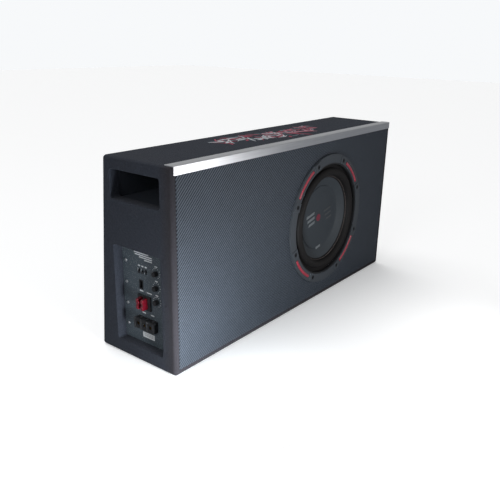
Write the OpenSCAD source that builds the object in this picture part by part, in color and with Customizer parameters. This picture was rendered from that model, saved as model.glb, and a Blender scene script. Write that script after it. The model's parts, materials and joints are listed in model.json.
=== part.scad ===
// Powered car subwoofer: a carpeted wedge-shaped box with a plate amplifier and a
// slot port in its left end, and one shallow 10 inch driver in its front.
// +X is right, +Y is back and +Z is up. The origin is the middle of the base.

/* [Box] */
// Width over the carpet
box_w = 700; // [690:5:740]
// Height over the carpet, without the trim angle
box_h = 341.5; // [338:0.5:350]
// Depth over the carpet at the base
base_depth = 182; // [180:1:195]
// Depth over the carpet at the top
top_depth = 152; // [150:1:160]
// Thickness of the carpet
carpet_t = 2.5; // [2:0.5:3]
// Radius of the carpeted edges
edge_r = 5.5; // [4:0.5:6]
// Thickness of the baffle and the two end boards
thick_board_t = 18; // [16:1:18]
// Thickness of the other boards
board_t = 15; // [12:1:15]

/* [Front] */
// Width of the carpet border beside and below the skin
border_w = 10; // [9:1:12]
// Thickness of the front skin
skin_t = 3; // [3:0.5:4]
// Thickness of the trim angle
trim_t = 1.5; // [1:0.5:2]
// Height of the trim angle's front flange
trim_front_h = 14; // [10:1:18]
// Depth of the trim angle's top flange
trim_top_d = 19; // [12:1:24]

/* [Port] */
// Height of the port's mouth
port_h = 48; // [40:1:50]
// Width of the port's mouth, front to back
port_w = 112; // [100:1:112]
// Distance from the box's front to the port's mouth
port_front = 25.5; // [25:0.5:28]
// Length of the shelf that forms the port
port_len = 330; // [250:10:340]

/* [Amplifier] */
// Width of the recess, front to back
recess_w = 109; // [105:1:112]
// Height of the recess
recess_h = 171; // [170:1:175]
// Distance from the box's front to the recess
recess_front = 28; // [27:0.5:30]
// Height of the recess's lower edge above the base
recess_low = 25.5; // [25:0.5:28]
// Radius of a control knob
knob_r = 4.4; // [4:0.1:5]
// Travel of a slide switch
switch_travel = 4; // [3:0.5:4]
// Travel that frees a fuse from its holder
fuse_travel = 10; // [8:1:12]

/* [Driver] */
// Distance of the driver's axis to the right of the box's middle
driver_x = 90; // [84:1:104]
// Height of the driver's axis above the base
driver_z = 169.5; // [165:0.5:175]
// Outer radius of the mounting ring
ring_r = 133.5; // [133:0.5:135]
// Inner radius of the mounting ring
ring_inner_r = 116; // [116:0.5:117]
// Radius of the circle of ring screws
screw_circle_r = 124; // [123.5:0.5:125]
// Radius of the cone
cone_r = 91; // [90:0.5:92]
// Radius of the dust cap
cap_r = 66.5; // [55:0.5:70]
// Radius of the magnet
magnet_r = 60; // [55:1:62]

/* [Hidden] */
$fn = 96;

// Box planes
ring_proud = 6;
skin_proud = 0.5;
half_w = box_w / 2;
slope = (base_depth - top_depth) / box_h;
lean = atan(slope);
rounding_loss = edge_r * (slope + 1 / cos(lean) - 1);
front_y = (ring_proud + skin_proud + rounding_loss - base_depth) / 2;
board_top = box_h - carpet_t;
inner_top = board_top - board_t;
inner_low = carpet_t + board_t;
end_in = half_w - carpet_t - thick_board_t;
baffle_back = front_y + carpet_t + thick_board_t;
back_inset = carpet_t + board_t;
skin_y = front_y - skin_proud;
skin_top = box_h + trim_t - trim_front_h - 0.4;
trim_half_w = half_w - 5;

// Port and inner boards
port_top = inner_top - carpet_t;
port_low = port_top - port_h;
shelf_top = port_low - carpet_t;
shelf_low = shelf_top - board_t;
divider_t = 12;
divider_x = -175;
brace_x = 236;
wadding_t = 22;

// Amplifier: a is the distance behind the recess's front edge, b the height above its lower edge
gasket_t = 1;
plate_t = 2;
plate_fit = 0.3;
plate_x = -end_in - plate_t - gasket_t;
frame_t = 12;
frame_hole = [[16, 12], [93, 159]];
board_gap = 15;
pcb_t = 1.6;
pcb_in = board_gap + pcb_t;
pcb = [[18, 14], [91, 157]];
sink_a = 54;
sink_b = 146;
screw_columns = [7.5, recess_w - 8.5];
screw_rows = [for (k = [0:3]) 25 + 38.5 * k];
plate_screw_r = 1.6;
knob_a = 28;
knob_b = [134.5, 109.5, 84.5];
knob_h = 7;
shaft_r = 3;
shaft_fit = 0.08;
pot_h = 10;
switch_b = 130;
switch_a = [52, 60, 68];
slot_w = 4;
slot_h = slot_w + switch_travel + 0.6;
nub_h = 3.6;
socket_a = 64.5;
socket_b = 106;
socket_size = [15.4, 8.4];
holder_a = 57;
holder_b = 76;
holder_size = [25, 30];
fuse_pitch = 11;
fuse_size = [19, 5];
blade_size = [5, 0.8];
blade_spread = 11;
block_a = 51;
block_b = 39;
block_size = [19, 46];
block_back = -4;
block_h = 10;
fin_h = 12;
way_pitch = 14.5;
cage_size = 9.5;
cage_len = 11;
wire_bore_r = 2.6;
free_gap = 0.3;

// Driver: d is the depth behind the front skin's face
flange_r = 131;
flange_front = -3;
ring_front = -4.5;
screw_angles = [for (k = [0:7]) 22.5 + 45 * k];
insert_angles = [45, 135, 225, 315];
insert_span = 31;
ring_screw_r = 2.2;
screw_head_r = 4.2;
screw_head_h = 2.4;
insert_r = 4;
insert_sink = 2.2;
channel_d = -3.6;
wall_r = 113.5;
ledge_d = 4.5;
ledge_r = 104;
shelf_r = 79;
spider_d = 54;
well_r = 66;
floor_d = 72;
sheet_t = 2;
roll_r = 7.5;
surround_t = 1.2;
cone_rim_d = 4;
cone_pitch = 0.479;
cone_t = 1.2;
cap_middle_d = 16.6;
former_r = 25.6;
coil_r = 26.5;
top_plate_d = floor_d + sheet_t;
top_plate_t = 8;
magnet_t = 20;
yoke_t = 8;
magnet_d = top_plate_d + top_plate_t;
yoke_d = magnet_d + magnet_t;
gap_r = 27.3;
pole_r = 24.7;

// Wiring inside the box
wire_r = 1.6;
wire_spread = 3;
wire_y = front_y + recess_front + 80;
wire_z = recess_low + 22;
wire_rise_x = -70;
terminal_r = well_r + sheet_t;
terminal_d = 60;
terminal_spread = 7;
lead_r = 0.9;

function back_y(z, inset) = front_y + base_depth - slope * z - inset / cos(lean);
function cone_d(r) = cone_rim_d + (cone_r - r) * cone_pitch;
function arc(centre, r, a0, a1, steps = 6) =
    [for (k = [0:steps]) centre + r * [cos(a0 + (a1 - a0) * k / steps), sin(a0 + (a1 - a0) * k / steps)]];

// Slice of the wedge between two widths and two heights, from y0 back to the inset back plane
module wedge(x0, x1, y0, z0, z1, inset) {
    translate([x0, 0, 0]) rotate([90, 0, 90]) linear_extrude(x1 - x0)
        polygon([[y0, z0], [back_y(z0, inset), z0], [back_y(z1, inset), z1], [y0, z1]]);
}

// Space in the end board for an opening in the left end, grown by a margin
module left_opening(front, low, w, h, margin, depth) {
    translate([-half_w - 1, front_y + front - margin, low - margin])
        cube([depth + 1, w + 2 * margin, h + 2 * margin]);
}

// Places a child on the amplifier's face: its x runs up, its y back and its z outwards
module at_plate(a, b, out = 0) {
    translate([plate_x - out, front_y + recess_front + a, recess_low + b])
        rotate([0, -90, 0]) children();
}

// Upright block on the amplifier's face, centred at a and b, between two distances outwards
module plate_block(a, b, size, out0, out1) {
    at_plate(a, b, out0)
        translate([-size[0] / 2, -size[1] / 2, 0]) cube([size[0], size[1], out1 - out0]);
}

// Places a child on the driver's axis: its z is the depth behind the skin
module at_driver(d = 0) {
    translate([driver_x, skin_y + d, driver_z]) rotate([-90, 0, 0]) children();
}

// Flat ring of revolution
module ring(r_in, r_out, d0, d1) {
    rotate_extrude() translate([r_in, d0]) square([r_out - r_in, d1 - d0]);
}

module around(angles, r) {
    for (a = angles) rotate(a) translate([r, 0, 0]) children();
}

// Round wire along a chain of points
module wire(points, r) {
    for (k = [0:len(points) - 2]) {
        step = points[k + 1] - points[k];
        translate(points[k])
            rotate([0, acos(step[2] / norm(step)), atan2(step[1], step[0])])
                cylinder(h = norm(step), r = r, $fn = 16);
        if (k > 0) translate(points[k]) sphere(r, $fn = 16);
    }
}

module front_baffle() {
    color("tan") difference() {
        translate([-end_in, front_y + carpet_t, carpet_t])
            cube([2 * end_in, thick_board_t, board_top - carpet_t]);
        at_driver() cylinder(h = 40, r = ring_inner_r);
        at_driver() around(screw_angles, screw_circle_r)
            cylinder(h = 40, r = ring_screw_r + 0.05, $fn = 24);
    }
}

module back_board() {
    color("tan") difference() {
        wedge(-end_in, end_in, baffle_back, carpet_t, board_top, carpet_t);
        wedge(-half_w, half_w, baffle_back - 1, -1, box_h, back_inset);
    }
}

module top_board() {
    color("tan") wedge(-end_in, end_in, baffle_back, inner_top, board_top, back_inset);
}

module bottom_board() {
    color("tan") wedge(-end_in, end_in, baffle_back, carpet_t, inner_low, back_inset);
}

module end_board(x0) {
    wedge(x0, x0 + thick_board_t, front_y + carpet_t, carpet_t, board_top, carpet_t);
}

module left_end_board() {
    color("burlywood") difference() {
        end_board(-half_w + carpet_t);
        left_opening(port_front, port_low, port_w, port_h, carpet_t, 60);
        left_opening(recess_front, recess_low, recess_w, recess_h, carpet_t, 60);
    }
}

module right_end_board() {
    color("burlywood") end_board(end_in);
}

module port_shelf() {
    color("peru") wedge(-end_in, port_len - end_in, baffle_back, shelf_low, shelf_top, back_inset);
}

module amp_divider() {
    color("peru") difference() {
        wedge(divider_x, divider_x + divider_t, baffle_back, inner_low, shelf_low, back_inset);
        translate([divider_x - 1, wire_y, wire_z]) rotate([0, 90, 0])
            cylinder(h = divider_t + 2, r = wire_spread + wire_r + 2, $fn = 32);
    }
}

// Board across the box that stiffens it, with a window for the air
module window_brace() {
    color("peru") difference() {
        wedge(brace_x, brace_x + divider_t, baffle_back, inner_low, inner_top, back_inset);
        wedge(brace_x - 1, brace_x + divider_t + 1, baffle_back + 25, inner_low + 40, inner_top - 40, back_inset + 25);
    }
}

// Board ring behind the recess that the amplifier is screwed to
module amp_mount_frame() {
    color("peru") difference() {
        wedge(-end_in, -end_in + frame_t, baffle_back, inner_low, recess_low + recess_h + 15, back_inset + 3);
        at_plate(0, 0, -40) translate([frame_hole[0][1], frame_hole[0][0], 0])
            cube([frame_hole[1][1] - frame_hole[0][1], frame_hole[1][0] - frame_hole[0][0], 60]);
        for (a = screw_columns, b = screw_rows)
            at_plate(a, b, -40) cylinder(h = 50, r = plate_screw_r + 0.05, $fn = 24);
    }
}

// Solid wedge with rounded edges; the top front edge is sharper, under the trim angle
module carpet_form() {
    intersection() {
        translate([-half_w, 0, 0]) rotate([90, 0, 90]) linear_extrude(box_w) polygon(concat(
            arc([front_y + edge_r, edge_r], edge_r, 180, 270),
            arc([back_y(edge_r, edge_r), edge_r], edge_r, -90, lean),
            arc([back_y(box_h - edge_r, edge_r), box_h - edge_r], edge_r, lean, 90),
            arc([front_y + 1.5, box_h - 1.5], 1.5, 90, 180, 2)));
        translate([0, front_y + base_depth + 20, 0]) rotate([90, 0, 0])
            linear_extrude(base_depth + 40) end_outline();
        linear_extrude(box_h + 1) polygon(concat(
            arc([-half_w + edge_r, front_y + edge_r], edge_r, 180, 270),
            arc([half_w - edge_r, front_y + edge_r], edge_r, -90, 0),
            [[half_w, 2 * base_depth], [-half_w, 2 * base_depth]]));
        translate([0, front_y + base_depth, 0]) rotate([lean, 0, 0]) translate([0, 0, -60])
            linear_extrude(box_h + 120) polygon(concat(
                arc([half_w - edge_r, -edge_r], edge_r, 0, 90),
                arc([-half_w + edge_r, -edge_r], edge_r, 90, 180),
                [[-half_w, -2 * base_depth], [half_w, -2 * base_depth]]));
    }
}

// Outline of the box from the front, with its four corners rounded
module end_outline() {
    polygon(concat(
        arc([half_w - edge_r, edge_r], edge_r, -90, 0),
        arc([half_w - edge_r, box_h - edge_r], edge_r, 0, 90),
        arc([-half_w + edge_r, box_h - edge_r], edge_r, 90, 180),
        arc([-half_w + edge_r, edge_r], edge_r, 180, 270)));
}

// Carpet round the box and into the two openings, open where the skin covers the front
module carpet_wrap() {
    color([0.18, 0.19, 0.22]) difference() {
        carpet_form();
        difference() {
            wedge(-half_w + carpet_t, half_w - carpet_t, front_y + carpet_t, -1, board_top, carpet_t);
            left_opening(port_front, port_low, port_w, port_h, carpet_t, carpet_t + thick_board_t);
            left_opening(recess_front, recess_low, recess_w, recess_h, carpet_t, carpet_t + thick_board_t);
        }
        translate([-box_w, -box_w, -1]) cube([2 * box_w, 2 * box_w, carpet_t + 1]);
        left_opening(port_front, port_low, port_w, port_h, 0, 60);
        left_opening(recess_front, recess_low, recess_w, recess_h, 0, 60);
        translate([-half_w + border_w, front_y - 1, border_w])
            cube([box_w - 2 * border_w, carpet_t + 1, skin_top - border_w]);
    }
}

module base_carpet() {
    color([0.16, 0.17, 0.2]) intersection() {
        carpet_form();
        translate([-box_w, -box_w, -1]) cube([2 * box_w, 2 * box_w, carpet_t + 1]);
    }
}

module front_skin() {
    color([0.33, 0.36, 0.4]) difference() {
        translate([-half_w + border_w, skin_y, border_w])
            cube([box_w - 2 * border_w, skin_t, skin_top - border_w]);
        at_driver(-1) cylinder(h = 10, r = ring_inner_r);
        at_driver(-1) around(screw_angles, screw_circle_r)
            cylinder(h = 10, r = ring_screw_r + 0.3, $fn = 24);
    }
}

module trim_angle() {
    color("silver") translate([-trim_half_w, 0, 0]) rotate([90, 0, 90]) linear_extrude(2 * trim_half_w)
        polygon([
            [front_y - trim_t, box_h + trim_t - trim_front_h], [front_y, box_h + trim_t - trim_front_h],
            [front_y, box_h], [front_y + trim_top_d - trim_t, box_h],
            [front_y + trim_top_d - trim_t, box_h + trim_t], [front_y - trim_t, box_h + trim_t]
        ]);
}

// Polyester pad against the right end board
module wadding() {
    color("white") wedge(end_in - wadding_t, end_in, baffle_back + 8, inner_low + 10, inner_top - 10, back_inset + 8);
}

// Sheet that fills the recess, less a margin, at a distance outwards
module plate_sheet(margin, out0, out1) {
    at_plate(0, 0, out0) translate([margin, margin, 0])
        cube([recess_h - 2 * margin, recess_w - 2 * margin, out1 - out0]);
}

module amp_gasket() {
    color("dimgray") difference() {
        plate_sheet(plate_fit, -plate_t - gasket_t, -plate_t);
        at_plate(0, 0, -10) translate([frame_hole[0][1], frame_hole[0][0], 0])
            cube([frame_hole[1][1] - frame_hole[0][1], frame_hole[1][0] - frame_hole[0][0], 20]);
        plate_screw_holes();
    }
}

module plate_screw_holes() {
    for (a = screw_columns, b = screw_rows)
        at_plate(a, b, -10) cylinder(h = 20, r = plate_screw_r + 0.3, $fn = 24);
}

module amp_plate() {
    color([0.2, 0.23, 0.26]) difference() {
        plate_sheet(plate_fit, -plate_t, 0);
        plate_screw_holes();
        for (b = knob_b) at_plate(knob_a, b, -10) cylinder(h = 20, r = shaft_r + 0.5, $fn = 32);
        for (a = switch_a) plate_block(a, switch_b, [slot_h, slot_w], -10, 10);
        plate_block(socket_a, socket_b, socket_size + [0.2, 0.2], -10, 10);
        plate_block(holder_a, holder_b, holder_size + [0.2, 0.2], -10, 10);
        plate_block(block_a, block_b, block_size + [0.2, 0.2], -10, 10);
    }
}

module plate_screws() {
    color("darkgray") for (a = screw_columns, b = screw_rows) difference() {
        union() {
            at_plate(a, b, -15) cylinder(h = 15, r = plate_screw_r, $fn = 24);
            at_plate(a, b, 0) intersection() {
                cylinder(h = 1.8, r = 3.2, $fn = 32);
                translate([0, 0, -2.6]) sphere(4.4, $fn = 48);
            }
        }
        for (turn = [0, 90]) at_plate(a, b, 0.9) rotate(turn)
            translate([-1.6, -0.35, 0]) cube([3.2, 0.7, 2]);
    }
}

module circuit_board() {
    color("darkgreen") difference() {
        at_plate(0, 0, -pcb_in) translate([pcb[0][1], pcb[0][0], 0])
            cube([pcb[1][1] - pcb[0][1], pcb[1][0] - pcb[0][0], pcb_t]);
        post_places() cylinder(h = 60, r = 1.6, center = true, $fn = 24);
    }
}

module post_places() {
    for (a = [pcb[0][0] + 5, pcb[1][0] - 5], b = [pcb[0][1] + 5, pcb[1][1] - 5])
        at_plate(a, b, 0) children();
}

module board_posts() {
    color("gold") post_places() {
        translate([0, 0, -board_gap]) cylinder(h = board_gap - plate_t, r = 2.6, $fn = 24);
        translate([0, 0, -pcb_in - 2]) cylinder(h = pcb_t + 2, r = 1.5, $fn = 24);
        translate([0, 0, -pcb_in - 2]) cylinder(h = 2, r = 2.8, $fn = 24);
    }
}

// Comb of fins on a flat base, behind the circuit board
module heatsink() {
    color("lightgray") {
        plate_block(sink_a, sink_b, [5, 62], -pcb_in - 70, -pcb_in);
        for (k = [-3:3]) plate_block(sink_a + 10 * k, sink_b - 12, [19, 2], -pcb_in - 70, -pcb_in - 25);
    }
}

module power_transistors() {
    color([0.12, 0.12, 0.13]) for (k = [-1.5:1:1.5])
        plate_block(sink_a + 14 * k, sink_b - 4.9, [4.8, 10], -pcb_in - 22, -pcb_in - 3);
}

module toroid(a, b, mean_r, tube_r) {
    at_plate(a, b, -pcb_in - tube_r) rotate_extrude() translate([mean_r, 0]) circle(tube_r, $fn = 40);
}

module transformer() {
    color("goldenrod") toroid(48, 95, 15, 9);
}

module output_choke() {
    color("darkorange") toroid(78, 118, 7, 4);
}

module filter_capacitors() {
    color([0.15, 0.2, 0.35]) for (a = [30, 54, 78]) at_plate(a, 50, -pcb_in - 40)
        cylinder(h = 40, r = 10, $fn = 48);
}

module potentiometers() {
    color("steelblue") for (b = knob_b) difference() {
        plate_block(knob_a, b, [10, 10], -board_gap, -board_gap + pot_h);
        at_plate(knob_a, b, -board_gap + 1.5) cylinder(h = 20, r = shaft_r + shaft_fit, $fn = 48);
    }
}

// Fluted knob with a pointer groove, moulded on its shaft
module knob(b) {
    difference() {
        union() {
            at_plate(knob_a, b, free_gap) cylinder(h = knob_h, r = knob_r, $fn = 48);
            at_plate(knob_a, b, -board_gap + 2) cylinder(h = board_gap, r = shaft_r, $fn = 48);
        }
        at_plate(knob_a, b, 2) around([for (k = [0:13]) 360 * (k + 0.5) / 14], knob_r + 0.5)
            cylinder(h = 10, r = 0.9, $fn = 16);
        at_plate(knob_a, b, knob_h - 0.7) translate([0.5, -0.45, 0]) cube([6, 0.9, 5]);
    }
}

module gain_knob() {
    color([0.1, 0.1, 0.11]) knob(knob_b[0]);
}

module crossover_knob() {
    color([0.1, 0.1, 0.11]) knob(knob_b[1]);
}

module bass_knob() {
    color([0.1, 0.1, 0.11]) knob(knob_b[2]);
}

module switch_housings() {
    color("gray") for (a = switch_a) difference() {
        plate_block(a, switch_b, [14, 7], -board_gap, -plate_t);
        plate_block(a, switch_b, [slot_h + 1.4, slot_w + 1.4], -9, 0);
    }
}

// Slide switch: a ridged nub on a foot that stays inside the housing
module switch_slider(a, side) {
    b = switch_b + side * switch_travel / 2;
    plate_block(a, b, [nub_h, slot_w - 2 * free_gap], -plate_t - 4, 2.2);
    plate_block(a, b, [nub_h + 1, slot_w + 0.6], -plate_t - 4, -plate_t - 0.6);
}

module phase_switch() {
    color("black") switch_slider(switch_a[2], -1);
}

module input_switch() {
    color("black") switch_slider(switch_a[1], -1);
}

module filter_switch() {
    color("black") switch_slider(switch_a[0], 1);
}

module signal_socket() {
    color([0.08, 0.08, 0.09]) difference() {
        plate_block(socket_a, socket_b, socket_size, -board_gap, 1);
        plate_block(socket_a, socket_b, socket_size - [2, 2], -9, 10);
        for (a = [-1.6, 1.6], b = [-4, 0, 4])
            at_plate(socket_a + a, socket_b + b, -20) cylinder(h = 20, r = 0.6, $fn = 16);
    }
}

module signal_pins() {
    color("gold") for (a = [-1.6, 1.6], b = [-4, 0, 4])
        at_plate(socket_a + a, socket_b + b, -board_gap) cylinder(h = 9.5, r = 0.55, $fn = 16);
}

// Places a child at each blade of one fuse
module blade_block(a, grow, out0, out1) {
    for (side = [-1, 1])
        plate_block(a, holder_b + side * blade_spread / 2, blade_size + [grow, grow], out0, out1);
}

rear_fuse_a = holder_a + fuse_pitch / 2;
front_fuse_a = holder_a - fuse_pitch / 2;

module fuse_holder() {
    color([0.09, 0.09, 0.1]) difference() {
        plate_block(holder_a, holder_b, holder_size, -board_gap, 3);
        for (a = [rear_fuse_a, front_fuse_a]) {
            plate_block(a, holder_b, fuse_size + [1, 1], 1.5, 10);
            blade_block(a, 2 * free_gap, -7, 10);
        }
    }
}

// Plug-in fuse: a flat case with two raised pads on its outer end
module fuse_case(a) {
    plate_block(a, holder_b, fuse_size, 2, 12);
    for (side = [-1, 1])
        plate_block(a, holder_b + side * 5.5, [6.5, fuse_size[1]], 12, 13.5);
}

module rear_fuse() {
    color([0.75, 0.08, 0.1]) fuse_case(rear_fuse_a);
}

module front_fuse() {
    color([0.75, 0.08, 0.1]) fuse_case(front_fuse_a);
}

module rear_fuse_blades() {
    color("silver") blade_block(rear_fuse_a, 0, -6, 2);
}

module front_fuse_blades() {
    color("silver") blade_block(front_fuse_a, 0, -6, 2);
}

// Three-way power terminal: a moulded block with a fin on each side of every way
module way_places() {
    for (k = [-1:1]) at_plate(block_a + way_pitch * k, block_b, block_back) children();
}

module terminal_block() {
    color([0.09, 0.09, 0.1]) difference() {
        union() {
            plate_block(block_a, block_b, block_size, block_back, block_h);
            for (k = [-1.5:1:1.5])
                plate_block(block_a + way_pitch * k, block_b, [block_size[0], 1.8], block_h, fin_h);
        }
        way_places() {
            translate([-cage_size / 2 - 1, -cage_size / 2, 1]) cube([cage_size, cage_size, cage_len]);
            cylinder(h = 30, r = wire_bore_r + 0.6, $fn = 48);
            translate([0, 0, 7]) rotate([0, 90, 0]) cylinder(h = 20, r = 2.9, $fn = 32);
        }
    }
}

// Brass cages that grip the wires
module terminal_cages() {
    color("goldenrod") difference() {
        way_places() translate([-cage_size / 2 - 1, -cage_size / 2, 1]) cube([cage_size, cage_size, cage_len]);
        way_places() {
            translate([0, 0, 2]) cylinder(h = 20, r = wire_bore_r, $fn = 48);
            translate([0, 0, 7]) rotate([0, 90, 0]) cylinder(h = 20, r = 1.55, $fn = 24);
        }
    }
}

module terminal_screws() {
    color("silver") way_places() translate([2.8, 0, 7]) rotate([0, 90, 0]) difference() {
        union() {
            cylinder(h = 3, r = 1.5, $fn = 24);
            translate([0, 0, 1.2]) cylinder(h = 4.6, r = 2.7, $fn = 32);
        }
        translate([-3, -0.4, 4.8]) cube([6, 0.8, 2]);
    }
}

// Pressed steel frame of the driver, with six windows behind the cone
module basket() {
    color([0.13, 0.13, 0.14]) at_driver() difference() {
        rotate_extrude() polygon([
            [flange_r, flange_front], [wall_r, flange_front], [wall_r, ledge_d], [ledge_r, ledge_d],
            [ledge_r, 20], [shelf_r, spider_d], [well_r, spider_d], [well_r, floor_d],
            [gap_r + 1, floor_d], [gap_r + 1, top_plate_d], [well_r + sheet_t, top_plate_d],
            [well_r + sheet_t, spider_d + sheet_t], [shelf_r + 1.2, spider_d + sheet_t],
            [ledge_r + sheet_t, 20.6], [ledge_r + sheet_t, ledge_d + sheet_t],
            [wall_r + sheet_t, ledge_d + sheet_t], [wall_r + sheet_t, -1], [flange_r, -1]
        ]);
        around([for (k = [0:5]) 60 * k], 72) translate([0, -21, 26]) cube([50, 42, 21]);
        around(screw_angles, screw_circle_r) translate([0, 0, -10])
            cylinder(h = 12, r = ring_screw_r + 0.3, $fn = 24);
    }
}

module basket_gasket() {
    color("dimgray") at_driver() difference() {
        ring(ring_inner_r, flange_r - 1, -1, 0);
        around(screw_angles, screw_circle_r) translate([0, 0, -5])
            cylinder(h = 12, r = ring_screw_r + 0.4, $fn = 24);
    }
}

// Trim ring over the basket's flange, with a raised pad at each screw and four channels
module mounting_ring() {
    color([0.16, 0.17, 0.19]) at_driver() difference() {
        union() {
            ring(ring_inner_r, ring_r, ring_front, flange_front);
            ring(flange_r + 0.2, ring_r, flange_front, 0);
            intersection() {
                ring(ring_inner_r, ring_r - 1, -ring_proud, ring_front);
                around(screw_angles, screw_circle_r) translate([-12, -9, -ring_proud]) cube([24, 18, 8]);
            }
        }
        for (a = insert_angles) rotate(a - insert_span / 2)
            rotate_extrude(angle = insert_span) translate([screw_circle_r - insert_r - 0.4, -10])
                square([2 * insert_r + 0.8, 10 + channel_d]);
        around(screw_angles, screw_circle_r) translate([0, 0, -10]) {
            cylinder(h = 12, r = ring_screw_r + 0.3, $fn = 24);
            cylinder(h = 10 - ring_proud + screw_head_h + 0.2, r = screw_head_r + 0.4, $fn = 40);
        }
    }
}

// Half-round red bars that lie in the ring's channels
module ring_inserts() {
    color([0.8, 0.1, 0.14]) at_driver() for (a = insert_angles) rotate(a - insert_span / 2 + 0.6)
        rotate_extrude(angle = insert_span - 1.2) translate([screw_circle_r, channel_d])
            intersection() {
                translate([0, insert_sink]) circle(insert_r, $fn = 40);
                translate([-insert_r, -insert_r]) square([2 * insert_r, insert_r]);
            }
}

module ring_screws() {
    color([0.2, 0.2, 0.21]) at_driver() around(screw_angles, screw_circle_r)
        translate([0, 0, -ring_proud + 0.2]) difference() {
            union() {
                cylinder(h = screw_head_h, r = screw_head_r, $fn = 40);
                cylinder(h = 26, r = ring_screw_r, $fn = 24);
            }
            translate([0, 0, -1]) cylinder(h = 3, r = 2, $fn = 6);
        }
}

// Rubber half roll with a flat landing on each side
module surround() {
    mean_r = (cone_r - 3 + ledge_r + 2) / 2;
    color([0.12, 0.11, 0.11]) at_driver() rotate_extrude() {
        intersection() {
            translate([mean_r, ledge_d - surround_t]) difference() {
                circle(roll_r + surround_t, $fn = 48);
                circle(roll_r, $fn = 48);
            }
            translate([mean_r - 20, ledge_d - surround_t - 20]) square([40, 20]);
        }
        translate([mean_r + roll_r, ledge_d - surround_t])
            square([wall_r - 0.5 - mean_r - roll_r, surround_t]);
        polygon([
            [mean_r - roll_r, ledge_d - surround_t], [mean_r - roll_r, cone_d(mean_r - roll_r)],
            [cone_r - 6, cone_d(cone_r - 6)], [cone_r - 6, cone_d(cone_r - 6) - surround_t],
            [mean_r - roll_r - surround_t, ledge_d - surround_t]
        ]);
    }
}

module cone() {
    color([0.2, 0.22, 0.24]) at_driver() rotate_extrude() polygon([
        [cone_r, cone_d(cone_r)], [former_r, cone_d(former_r)],
        [former_r, cone_d(former_r) + cone_t], [cone_r, cone_d(cone_r) + cone_t]
    ]);
}

module dust_cap() {
    color([0.22, 0.24, 0.27]) at_driver() rotate_extrude() polygon([
        [0, cap_middle_d], [cap_r * 0.7, cap_middle_d - 0.6], [cap_r - 1.5, cone_d(cap_r) - 1.2],
        [cap_r, cone_d(cap_r) - 0.6], [cap_r, cone_d(cap_r)], [cap_r - 3, cone_d(cap_r - 3)],
        [cap_r * 0.7, cap_middle_d + 0.4], [0, cap_middle_d + 1]
    ]);
}

module coil_former() {
    color("khaki") at_driver() ring(former_r - 0.4, former_r, 33, 90);
}

module voice_coil() {
    color("chocolate") at_driver() ring(former_r, coil_r, 68, 88);
}

// Cloth disc with three ridges that centres the coil
module spider() {
    ridge = 5;
    color("goldenrod") at_driver() rotate_extrude() {
        translate([former_r, spider_d - 1.2]) square([shelf_r - 3 - former_r, 1.2]);
        for (k = [0:2]) translate([former_r + 9 + 12 * k, spider_d - 1.2]) intersection() {
            circle(ridge / 2 + 1, $fn = 32);
            translate([-ridge, -ridge]) square([2 * ridge, ridge]);
        }
    }
}

module top_plate() {
    color("silver") at_driver() ring(gap_r, magnet_r - 3, top_plate_d, magnet_d);
}

module magnet() {
    color([0.25, 0.25, 0.27]) at_driver() ring(32, magnet_r, magnet_d, yoke_d);
}

module yoke() {
    color("silver") at_driver() {
        ring(6, magnet_r - 3, yoke_d, yoke_d + yoke_t);
        ring(6, pole_r, floor_d, yoke_d);
    }
}

// Terminal strip on the side of the basket's well
module driver_terminals() {
    color([0.5, 0.12, 0.1]) at_driver() difference() {
        translate([-terminal_r - 12, -14, terminal_d]) cube([14, 28, 8]);
        translate([0, 0, 50]) cylinder(h = 40, r = terminal_r);
        for (side = [-1, 1]) translate([-terminal_r - 8, terminal_spread * side, 50])
            cylinder(h = 30, r = wire_r + 0.1, $fn = 24);
    }
}

// Two insulated wires from the circuit board, through the divider, to the driver's terminals
module driver_wiring() {
    end_x = driver_x - terminal_r - 8;
    color("crimson") for (side = [-1, 1]) wire([
        [plate_x + pcb_in, wire_y, wire_z + wire_spread * side],
        [wire_rise_x - 2 * wire_spread * side, wire_y, wire_z + wire_spread * side],
        [wire_rise_x - 2 * wire_spread * side, wire_y, driver_z + terminal_spread * side],
        [end_x, wire_y, driver_z + terminal_spread * side],
        [end_x, skin_y + terminal_d, driver_z + terminal_spread * side]
    ], wire_r);
}

// Braided leads from the terminals, through a basket window, to the back of the cone
module coil_leads() {
    color("peru") at_driver() for (side = [-1, 1]) wire([
        [-terminal_r - 12, terminal_spread * side, terminal_d + 4],
        [-terminal_r - 17, terminal_spread * side, terminal_d + 4],
        [-terminal_r - 24, terminal_spread * side, terminal_d - 16],
        [-58, terminal_spread * side, cone_d(58) + cone_t + lead_r]
    ], lead_r);
}

front_baffle();
back_board();
top_board();
bottom_board();
left_end_board();
right_end_board();
port_shelf();
amp_divider();
window_brace();
amp_mount_frame();
carpet_wrap();
base_carpet();
front_skin();
trim_angle();
wadding();
amp_gasket();
amp_plate();
plate_screws();
circuit_board();
board_posts();
heatsink();
power_transistors();
transformer();
filter_capacitors();
output_choke();
potentiometers();
gain_knob();
crossover_knob();
bass_knob();
switch_housings();
phase_switch();
input_switch();
filter_switch();
signal_socket();
signal_pins();
fuse_holder();
rear_fuse();
front_fuse();
rear_fuse_blades();
front_fuse_blades();
terminal_block();
terminal_cages();
terminal_screws();
basket();
basket_gasket();
mounting_ring();
ring_inserts();
ring_screws();
surround();
cone();
dust_cap();
coil_former();
voice_coil();
spider();
top_plate();
magnet();
yoke();
driver_terminals();
driver_wiring();
coil_leads();
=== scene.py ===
import json
import math
import random

import bpy
from mathutils import Matrix, Vector


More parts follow.
